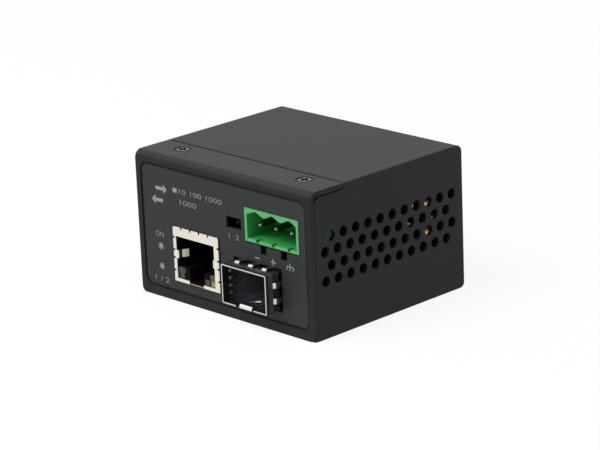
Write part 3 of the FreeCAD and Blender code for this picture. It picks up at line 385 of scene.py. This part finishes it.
# painted shade: rolled nickel darker where it lies inside the case, seen through the vents
paintedCaseShade = {"behind": 12, "soft": 3, "colour": "#3c3d39"}
nickel = {}
for name, (dark, light, rough, size) in nickels.items():
    nickel[name], tree, shader, place = newFinish(name + " nickel plate", {
        "Base Color": light, "Roughness": rough, "Metallic": 1.0})
    tone = addVariation(tree, shader, place, size, dark, light)
    if name == "rolled":
        tone = addSplit(tree, shader, place, "Y", cageFront + paintedCaseShade["behind"], paintedCaseShade["soft"],
                        tone, paintedCaseShade["colour"])
    if name in paintedFrontEnds:
        limit, soft, colour = paintedFrontEnds[name]
        addSplit(tree, shader, place, "Y", limit, soft, colour, tone)
    addGrain(tree, shader, place, size=0.5, depth=0.003, soften=0.05)
dress(nickel["rolled"], "sfp_cage")
dress(nickel["spring"], "sfp_emi_collar")

# polyamide 66, moulded: leaf green, satin; the front rim face is painted light, paler, the rest
# painted shade
polyamide = {"Base Color": "#2f8f45", "Roughness": 0.42, "Specular IOR Level": 0.5}
paintedRimLight = {"depth": 0.12, "soft": 0.08, "colour": "#4c9c5f"}
greenPolyamide, tree, shader, place = newFinish("moulded green polyamide", polyamide)
deep = addVariation(tree, shader, place, size=3.0, dark="#2b8a41", light="#379d4f")
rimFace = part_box("terminal_housing")[0].y / mm
addSplit(tree, shader, place, "Y", rimFace + paintedRimLight["depth"], paintedRimLight["soft"], paintedRimLight["colour"], deep)
addGrain(tree, shader, place, size=0.3, depth=0.004, soften=0.1)
dress(greenPolyamide, "terminal_housing")

# tin on brass pins, drawn square: tips with a painted highlight; the shanks are bright too in
# fact, and carry a painted reflection of the dark green housing that they mirror
pinLook = {"Base Color": "#d8d6d0", "Roughness": 0.22, "Metallic": 0.8}
paintedTipHighlight = {"depth": 0.05, "soft": 0.03, "colour": "#fbfbf8"}
tinnedPin, tree, shader, place = newFinish("tinned square pin", pinLook)
paintedShankReflection = addVariation(tree, shader, place, size=0.8, dark="#2c4534", light="#385541")
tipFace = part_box("terminal_pins")[0].y / mm
addSplit(tree, shader, place, "Y", tipFace + paintedTipHighlight["depth"], paintedTipHighlight["soft"], paintedTipHighlight["colour"], paintedShankReflection)
addGrain(tree, shader, place, size=0.15, depth=0.003)
dress(tinnedPin, "terminal_pins")

# heat-proof plastics of the small switch: black body, charcoal levers
switchParts = (("black polyester", ("dip_switch_body",), "#0d0d0f", "#141416"),
               ("charcoal nylon", ("dip_lever_1", "dip_lever_2"), "#2c2d30", "#3a3b3e"))
for name, owners, dark, light in switchParts:
    finish, tree, shader, place = newFinish("moulded " + name, {
        "Base Color": light, "Roughness": 0.5, "Specular IOR Level": 0.3})
    addVariation(tree, shader, place, size=0.9, dark=dark, light=light)
    addGrain(tree, shader, place, size=0.2, depth=0.004)
    dress(finish, *owners)

# frosted acrylic lamps: pale grey while off, darker towards the rim
frost = {"Base Color": "#6f7170", "Roughness": 0.5, "Specular IOR Level": 0.5}
lampFace = {"core": 0.45, "edge": 0.85, "edgeColour": "#37383a"}
for name in ("led_link", "led_power"):
    frostedAcrylic, tree, shader, place = newFinish("frosted acrylic " + name[4:], frost)
    low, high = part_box(name)
    centre = ((low.x + high.x) / 2, low.y, (low.z + high.z) / 2)
    spread = addNode(tree, "VectorMath", {0: place, 1: centre}, operation="DISTANCE")
    share = addNode(tree, "MapRange", {"Value": spread.outputs["Value"],
                                       "From Min": lampFace["core"] * mm,
                                       "From Max": lampFace["edge"] * mm})
    milky = addVariation(tree, shader, place, size=0.7, dark="#777978", light="#8a8c8b")
    shaded = addNode(tree, "Mix", {"Factor": share.outputs[0], 6: milky,
                                   7: lampFace["edgeColour"]}, data_type="RGBA")
    tree.links.new(shaded.outputs[2], shader.inputs["Base Color"])
    addGrain(tree, shader, place, size=0.15, depth=0.006)
    dress(frostedAcrylic, name)

# small board parts: moulded epoxy, nickel steel can, shrunk film, ferrite, ceramic; dark and
# light colour, roughness and metallic
boardParts = (
    ("moulded chip epoxy", ("switch_chip", "regulator_chip"), "#1b1b1d", "#232325", 0.6, 0.0),
    ("nickel steel can", ("crystal",), "#b3b4b3", "#c6c7c6", 0.3, 1.0),
    ("shrunk sleeve film", ("bulk_capacitors",), "#15171c", "#1f2229", 0.3, 0.0),
    ("sintered ferrite", ("power_inductor",), "#38383a", "#454547", 0.7, 0.0),
    ("fired ceramic", ("input_fuse",), "#2c2d26", "#393a32", 0.6, 0.0))
for name, owners, dark, light, rough, metal in boardParts:
    finish, tree, shader, place = newFinish(name, {"Base Color": light, "Roughness": rough,
                                                   "Metallic": metal})
    addVariation(tree, shader, place, size=1.5, dark=dark, light=light)
    addGrain(tree, shader, place, size=0.25, depth=0.005)
    dress(finish, *owners)
print("frame dressed")


# printed legends on the overlay: screen ink, matt light grey; lengths in millimetres, and
# thinner in parts of the letter height
legend = {"thickness": 0.02, "sink": 0.005, "thinner": 0.012, "body": "converter"}
inkLook = {"Base Color": "#8a8b8c", "Roughness": 0.6, "Specular IOR Level": 0.3}
screenInk, tree, shader, place = newFinish("light grey screen ink", inkLook)
addVariation(tree, shader, place, size=0.5, dark="#7c7d7e", light="#969798")
addGrain(tree, shader, place, size=0.1, depth=0.003)
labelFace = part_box("front_label")[0].y


def printOn(name, flat, left, right, low, high):
    # lays a flat XY mesh on the overlay, stretched to its place; millimetres
    corners = [v.co.copy() for v in flat.vertices]
    lowX, highX = min(c.x for c in corners), max(c.x for c in corners)
    lowY, highY = min(c.y for c in corners), max(c.y for c in corners)
    flat.transform(Matrix.Translation((-lowX, -lowY, 0)))
    scaleX = (right - left) * mm / (highX - lowX)
    scaleY = (high - low) * mm / (highY - lowY)
    flat.transform(Matrix.Diagonal((scaleX, scaleY, 1, 1)))
    flat.transform(Matrix.Rotation(math.radians(90), 4, "X"))
    flat.transform(Matrix.Translation((left * mm, labelFace + legend["sink"] * mm, low * mm)))
    flat.materials.clear()
    flat.materials.append(screenInk)
    piece = bpy.data.objects.new(name, flat)
    bpy.context.scene.collection.objects.link(piece)
    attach(piece, legend["body"])


def thicken(flat):
    # gives flat ink its thickness, towards +Z
    shape = bmesh.new()
    shape.from_mesh(flat)
    bmesh.ops.remove_doubles(shape, verts=shape.verts, dist=1e-5)
    grown = bmesh.ops.extrude_face_region(shape, geom=shape.faces[:])
    raised = [v for v in grown["geom"] if isinstance(v, bmesh.types.BMVert)]
    bmesh.ops.translate(shape, verts=raised, vec=(0, 0, legend["thickness"] * mm))
    bmesh.ops.recalc_face_normals(shape, faces=shape.faces)
    shape.to_mesh(flat)
    shape.free()
    return flat


def letters(text):
    curve = bpy.data.curves.new(text, "FONT")
    curve.body = text
    curve.size = 1
    curve.offset = -legend["thinner"]
    curve.resolution_u = 4
    holder = bpy.data.objects.new(text, curve)
    bpy.context.scene.collection.objects.link(holder)
    bpy.context.view_layer.update()
    flat = bpy.data.meshes.new_from_object(holder.evaluated_get(
        bpy.context.evaluated_depsgraph_get()))
    bpy.data.objects.remove(holder)
    return thicken(flat)


def glyph(strokes):
    # flat sign from strokes (x, y, length, width, angle); a width of 0 is an arrow head
    shape = bmesh.new()
    for x, y, length, width, angle in strokes:
        if width:
            made = bmesh.ops.create_grid(shape, x_segments=1, y_segments=1, size=0.5)["verts"]
            bmesh.ops.scale(shape, verts=made, vec=(length, width, 1))
        else:
            made = bmesh.ops.create_circle(shape, cap_ends=True, segments=3,
                                           radius=length)["verts"]
            quarter = Matrix.Rotation(math.radians(-90), 3, "Z")
            bmesh.ops.rotate(shape, verts=made, matrix=quarter)
        turn = Matrix.Rotation(math.radians(angle), 3, "Z")
        bmesh.ops.rotate(shape, verts=made, matrix=turn)
        bmesh.ops.translate(shape, verts=made, vec=(x, y, 0))
    flat = bpy.data.meshes.new("glyph")
    shape.to_mesh(flat)
    shape.free()
    return thicken(flat)


# text, then left, right, low and high on the front
words = {"speeds_copper": ("10 100 1000", -14.3, 0.1, 26.85, 28.05),
         "speed_fibre": ("1000", -14.2, -8.6, 24.2, 25.4),
         "power_words": ("ON", -23.3, -20.5, 14.95, 16.2),
         "link_words": ("1 / 2", -24.2, -19.4, 3.8, 5.1),
         "switch_numbers": ("1  2", 2.1, 5.4, 19.35, 20.6)}
for name, (text, left, right, low, high) in words.items():
    printOn(name, letters(text), left, right, low, high)

# strokes, then left, right, low and high on the front
signs = {"bullet": ([(0, 0, 1, 1, 0)], -16.5, -15.1, 26.9, 28.0),
         "exchange_sign": ([(0.1, 0.5, 1.5, 0.28, 0), (1.0, 0.5, 0.45, 0, 0),
                            (-0.1, -0.5, 1.5, 0.28, 0), (-1.0, -0.5, 0.45, 0, 180)],
                           -23.9, -18.6, 22.9, 28.1),
         "minus_sign": ([(0, 0, 1, 0.2, 0)], 10.4, 11.9, 16.3, 16.6),
         "plus_sign": ([(0, 0, 1, 0.2, 0), (0, 0.3, 0.4, 0.2, 90), (0, -0.3, 0.4, 0.2, 90)],
                       15.6, 17.1, 15.7, 17.2),
         "ground_sign": ([(0, 0, 2.2, 0.22, 0), (0, 0.55, 0.9, 0.22, 90),
                          (-0.95, -0.5, 0.95, 0.22, 68), (0.0, -0.5, 0.95, 0.22, 68),
                          (0.95, -0.5, 0.95, 0.22, 68)],
                         20.4, 23.1, 15.5, 17.4)}
for name, (strokes, left, right, low, high) in signs.items():
    printOn(name, glyph(strokes), left, right, low, high)
print("legends printed")


def newPiece(name, shape, finish):
    # a finished bmesh in millimetres becomes a piece in metres that rides with the converter
    bmesh.ops.scale(shape, verts=shape.verts, vec=(mm, mm, mm))
    mesh = bpy.data.meshes.new(name)
    shape.to_mesh(mesh)
    shape.free()
    mesh.materials.append(finish)
    piece = bpy.data.objects.new(name, mesh)
    bpy.context.scene.collection.objects.link(piece)
    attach(piece, "converter")
    return piece


def softBar(low, high, soften):
    # a bar between two corners with its edges rounded
    shape = bmesh.new()
    bmesh.ops.create_cube(shape, size=1.0)
    bmesh.ops.scale(shape, verts=shape.verts, vec=[b - a for a, b in zip(low, high)])
    bmesh.ops.translate(shape, verts=shape.verts, vec=[(a + b) / 2 for a, b in zip(low, high)])
    bmesh.ops.bevel(shape, geom=shape.edges[:], affect="EDGES", offset=soften, segments=2,
                    profile=0.5, material=-1)
    return shape


def bentStrip(start, end, centre, axis, angle, steps, sheet):
    # sheet-metal strip: an edge swept round an axis, then given its thickness
    shape = bmesh.new()
    edge = [shape.verts.new(start), shape.verts.new(end)]
    line = shape.edges.new(edge)
    bmesh.ops.spin(shape, geom=[line] + edge, cent=centre, axis=axis,
                   angle=math.radians(angle), steps=steps, use_merge=False)
    bmesh.ops.solidify(shape, geom=shape.faces[:], thickness=sheet)
    bmesh.ops.recalc_face_normals(shape, faces=shape.faces[:])
    return shape


# the cage with the holes that its solid leaves out: the latch leaf's triangle, its base behind
# the mouth and its apex farther in, and a dimple in the top
cageLow, cageHigh = (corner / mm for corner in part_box("sfp_cage"))
cageCut = {"base": 3.3, "apex": 5.2, "halfWidth": 1.95, "floor": 2.6, "through": 1.2,
           "across": 10.57, "behind": 1.05, "dimpleWidth": 0.6, "dimpleTip": 0.2,
           "dimpleDepth": 0.15, "overlap": 0.01, "sides": 20}
# tells its inner faces apart: wall, and heights over the pins' ends
cageZone = {"wall": 0.1, "underside": 2.2, "floorTop": 3}
triangle = {"height": 1.5, "halfWidth": 0.866}  # of a three-sided circle with radius 1
cutter = bmesh.new()
stretch = (cageCut["apex"] - cageCut["base"]) / triangle["height"]
made = bmesh.ops.create_cone(cutter, cap_ends=True, segments=3, radius1=1, radius2=1,
                             depth=cageCut["through"])["verts"]
bmesh.ops.scale(cutter, verts=made, vec=(cageCut["halfWidth"] / triangle["halfWidth"],
                                         stretch, 1))
bmesh.ops.translate(cutter, verts=made, vec=(
    (cageLow.x + cageHigh.x) / 2, cageLow.y + cageCut["base"] + stretch / 2,
    cageLow.z + cageCut["floor"]))
made = bmesh.ops.create_cone(cutter, cap_ends=True, segments=cageCut["sides"],
                             radius1=cageCut["dimpleTip"] / 2,
                             radius2=cageCut["dimpleWidth"] / 2,
                             depth=cageCut["dimpleDepth"])["verts"]
bmesh.ops.translate(cutter, verts=made, vec=(
    cageLow.x + cageCut["across"], cageLow.y + cageCut["behind"],
    cageHigh.z - cageCut["dimpleDepth"] / 2 + cageCut["overlap"]))
bmesh.ops.scale(cutter, verts=cutter.verts, vec=(mm, mm, mm))
cutterMesh = bpy.data.meshes.new("cage cutter")
cutter.to_mesh(cutterMesh)
cutter.free()
cutterPiece = bpy.data.objects.new("cage cutter", cutterMesh)
merged = bmesh.new()
merged.from_mesh(nodes["sfp_cage"].data)
bmesh.ops.remove_doubles(merged, verts=merged.verts, dist=0.001 * mm)
bmesh.ops.recalc_face_normals(merged, faces=merged.faces[:])
mergedMesh = bpy.data.meshes.new("cage merged")
merged.to_mesh(mergedMesh)
merged.free()
mergedPiece = bpy.data.objects.new("cage merged", mergedMesh)
for helper in (mergedPiece, cutterPiece):
    bpy.context.scene.collection.objects.link(helper)
punch = mergedPiece.modifiers.new("punch", "BOOLEAN")
punch.object = cutterPiece
punch.solver = "EXACT"
bpy.context.view_layer.update()
punched = bpy.data.meshes.new_from_object(mergedPiece.evaluated_get(
    bpy.context.evaluated_depsgraph_get()))
for helper in (mergedPiece, cutterPiece):
    bpy.data.objects.remove(helper)
cageShape = bmesh.new()
cageShape.from_mesh(punched)
bmesh.ops.scale(cageShape, verts=cageShape.verts, vec=(1 / mm, 1 / mm, 1 / mm))
cage = newPiece("punched_cage", cageShape, nickel["rolled"])
for finish in ("dull", "rubbed"):
    cage.data.materials.append(nickel[finish])
wall = cageZone["wall"]
# inner faces take the painted-light inside copy, the sheared faces round the latch hole the
# painted highlight
for face in cage.data.polygons:
    centre = face.center / mm
    face.use_smooth = False
    inside = (cageLow.x + wall < centre.x < cageHigh.x - wall
              and cageLow.z + cageZone["underside"] + wall < centre.z < cageHigh.z - wall
              and centre.y > cageLow.y + wall)
    shearedHighlit = (inside and abs(face.normal.z) < 0.5
               and centre.z < cageLow.z + cageZone["floorTop"]
               and cageCut["base"] < centre.y - cageLow.y < cageCut["apex"]
               and abs(2 * centre.x - cageLow.x - cageHigh.x) < 2 * cageCut["halfWidth"])
    face.material_index = 2 if shearedHighlit else 1 if inside else 0
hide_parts("sfp_cage")
print("cage punched", len(cage.data.polygons), "faces")

# the cage's sprung leaves: arcs stamped out of each side wall, pressing on the module
leaves = {"count": 4, "lowest": 7.35, "pitch": 1.77, "width": 0.7, "start": 2.1, "run": 2.4,
          "rise": 0.3, "sheet": 0.08, "wall": 0.27, "steps": 8}
bend = ((leaves["run"] / 2) ** 2 + leaves["rise"] ** 2) / (2 * leaves["rise"])
sweep = 2 * math.degrees(math.asin(leaves["run"] / 2 / bend))
startY = cageLow.y + leaves["start"]
for side, wallX, inwards in (("left", cageLow.x + leaves["wall"], 1),
                             ("right", cageHigh.x - leaves["wall"], -1)):
    axisX = wallX + inwards * (leaves["rise"] - bend)
    for i in range(leaves["count"]):
        low = leaves["lowest"] + i * leaves["pitch"] - leaves["width"] / 2
        leaf = bentStrip((wallX, startY, low), (wallX, startY, low + leaves["width"]),
                         (axisX, startY + leaves["run"] / 2, low), (0, 0, 1),
                         inwards * sweep, leaves["steps"], leaves["sheet"])
        # the leaves take the painted-shade copy of the nickel
        newPiece("cage_leaf_%s_%d" % (side, i + 1), leaf, nickel["tarnished"])
print("cage leaves sprung")

# rolled nose of the cage's latch leaf
nose = {"left": 9.15, "right": 13.15, "radius": 0.52, "top": 6.02, "setback": 0.92, "turn": 115,
        "steps": 8, "sheet": 0.2}
noseY = cageLow.y + nose["setback"]
noseRoll = bentStrip((nose["left"], noseY, nose["top"]), (nose["right"], noseY, nose["top"]),
                     (0, noseY, nose["top"] - nose["radius"]), (1, 0, 0), nose["turn"],
                     nose["steps"], nose["sheet"])
# painted highlight: the latch nose takes the bright copy of the nickel
newPiece("latch_nose", noseRoll, nickel["rubbed"])

# smoked light guides above and beside the jack's lamp blocks, flush in the moulding: dark and
# light colour, then left, right, low and high
smoke = {"proud": 0.06, "deep": 0.1, "soften": 0.03}
guides = {"green_guide": ("#15241f", "#1d302b", -15.5, -13.3, 7.55, 8.95),
          "yellow_guide": ("#3a3929", "#4a4834", -4.75, -3.0, 7.55, 9.0),
          "clear_guide": ("#24262a", "#2f3236", -6.5, -4.95, 6.2, 7.6)}
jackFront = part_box("rj45_housing")[0].y / mm
for name, (dark, light, left, right, low, high) in guides.items():
    resin, tree, shader, place = newFinish(name.replace("_", " ") + " resin", {
        "Base Color": light, "Roughness": 0.3, "Specular IOR Level": 0.5})
    addVariation(tree, shader, place, size=0.6, dark=dark, light=light)
    addGrain(tree, shader, place, size=0.3, depth=0.004)
    guide = softBar((left, jackFront - smoke["proud"], low),
                    (right, jackFront + smoke["deep"], high), smoke["soften"])
    newPiece(name, guide, resin)

# folded corners of the shell's side walls, behind the front cover's lower corners
fold = {"leftStart": 1.34, "rightStart": 0.25, "end": 2.9, "up": 1.55, "thick": 1.5,
        "inset": 0.02, "soften": 0.08}
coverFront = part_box("front_cover")[0].y / mm
for name, side, start in (("left_corner", -1, fold["leftStart"]),
                          ("right_corner", 1, fold["rightStart"])):
    outer = side * (cadBox[1].x / mm - fold["inset"])
    inner = outer - side * fold["thick"]
    corner = softBar((min(outer, inner), coverFront + start, fold["inset"]),
                     (max(outer, inner), coverFront + fold["end"], fold["up"]), fold["soften"])
    newPiece(name, corner, powderCoat["case_shell"])

# bare glass-epoxy laminate under the jack's latch channel: straw brown, dull from the router
laminateLook = {"Base Color": "#8f8061", "Roughness": 0.5, "Specular IOR Level": 0.4}
tongue = {"left": -11.7, "right": -7.0, "low": 5.31, "high": 5.5, "reach": 0.28, "soften": 0.03}
laminate, tree, shader, place = newFinish("bare glass epoxy", laminateLook)
addVariation(tree, shader, place, size=0.5, dark="#7c6f55", light="#9c8c6b")
addGrain(tree, shader, place, size=0.12, depth=0.008)
tongueBar = softBar((tongue["left"], jackFront - tongue["reach"], tongue["low"]),
                    (tongue["right"], jackFront, tongue["high"]), tongue["soften"])
newPiece("board_tongue", tongueBar, laminate)
print("port details added")
